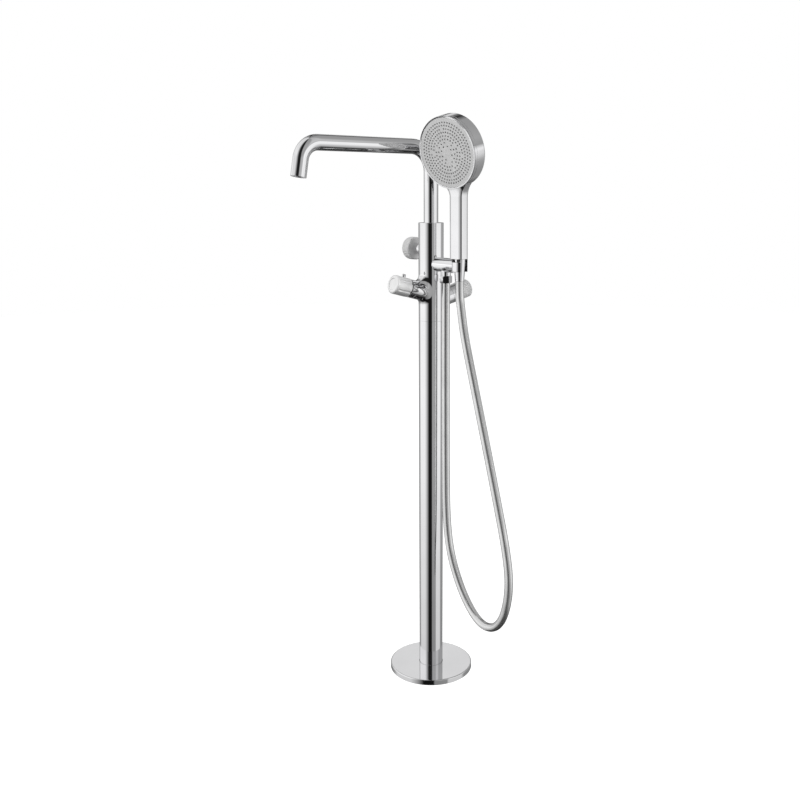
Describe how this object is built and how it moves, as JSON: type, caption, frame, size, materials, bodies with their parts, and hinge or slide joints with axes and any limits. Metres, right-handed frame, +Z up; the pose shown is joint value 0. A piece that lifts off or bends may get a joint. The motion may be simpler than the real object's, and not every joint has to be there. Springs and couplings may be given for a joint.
{
  "type": "floor-standing tub filler",
  "caption": "Floor-standing bath filler: round base, slim column, swivel spout, thermostat and flow handles, diverter knob, and a hand shower on a hose in a side cradle.",
  "frame": {"origin": "centre of the base on the floor, on the column's axis", "axes": "+Z up the column, -X towards the tub along the spout at rest, -Y towards the hand shower"},
  "size_m": [0.3386, 0.2921, 0.9703],
  "materials": {
    "chrome": "polished chrome plate",
    "satin": "satin chrome plate",
    "plated_plastic": "chrome-plated plastic",
    "face_grey": "satin light grey",
    "nozzle_grey": "soft silicone",
    "black_plastic": "satin black",
    "inner_plastic": "plain moulded",
    "brass": "machined",
    "steel": "plain stainless",
    "rubber": "matte",
    "hose_silver": "smooth silver"
  },
  "bodies": {
    "stand": {"base_cover": "chrome", "column_tube": "chrome", "valve_body": "chrome", "thermostat_collar": "chrome", "flow_collar": "chrome", "diverter_neck": "chrome", "shower_bracket": "chrome", "hose_nut": "chrome", "thermostat_stop_ring": "black_plastic", "cradle_liner": "black_plastic", "check_valves": "inner_plastic", "spout_thrust_washer": "inner_plastic", "inlet_unions": "brass", "thermostat_cartridge": "brass", "flow_cartridge": "brass", "diverter_cartridge": "brass", "hose_outlet_stub": "brass", "hot_supply_tube": "brass", "cold_supply_tube": "brass", "anchor_flange": "steel", "anchor_spigot": "steel", "spout_lock_screw": "steel", "cover_seal": "rubber", "body_seal": "rubber", "bracket_seal": "rubber", "hose_washer": "rubber", "hose": "hose_silver"},
    "spout": {"spout_tube": "chrome", "spout_spigot": "chrome", "spout_seals": "rubber", "aerator_housing": "chrome", "aerator_insert": "inner_plastic"},
    "thermostat": {"thermostat_handle": "satin", "thermostat_spindle": "steel", "thermostat_screw": "steel", "thermostat_cap": "satin"},
    "safety_button": {"safety_button": "satin", "button_spring": "steel"},
    "flow": {"flow_handle": "satin", "flow_spindle": "steel", "flow_screw": "steel", "flow_cap": "satin"},
    "diverter": {"diverter_knob": "satin", "diverter_spindle": "steel", "diverter_screw": "steel", "diverter_cap": "satin"},
    "hand_shower": {"shower_shell": "plated_plastic", "face_ring": "plated_plastic", "spray_face": "face_grey", "spray_nozzles": "nozzle_grey", "water_plate": "inner_plastic", "shower_inlet": "brass", "shower_washer": "rubber", "cone_nut": "chrome"}
  },
  "joints": [
    {"name": "spout_swivel", "type": "hinge", "parent": "stand", "child": "spout", "pos_m": [0, 0, 0.8], "axis": [0, 0, 1], "range_deg": [-180, 15]},
    {"name": "thermostat_turn", "type": "hinge", "parent": "stand", "child": "thermostat", "pos_m": [0, 0, 0.6845], "axis": [-0.9659, 0, 0.2588], "range_deg": [-180, 60]},
    {"name": "safety_button_press", "type": "slide", "parent": "thermostat", "child": "safety_button", "axis": [-0.2588, 0, -0.9659], "range_m": [0, 0.002], "stiffness_N_per_m": 800, "deforming": ["button_spring"]},
    {"name": "flow_turn", "type": "hinge", "parent": "stand", "child": "flow", "pos_m": [0, 0, 0.6705], "axis": [0.9659, 0, 0.2588], "range_deg": [0, 90]},
    {"name": "diverter_turn", "type": "hinge", "parent": "stand", "child": "diverter", "pos_m": [0, 0, 0.759], "axis": [0, 1, 0], "range_deg": [0, 90]},
    {"name": "hand_shower_lift", "type": "slide", "parent": "stand", "child": "hand_shower", "axis": [0, 0, 1], "range_m": [0, 0.045], "deforming": ["hose"]}
  ]
}
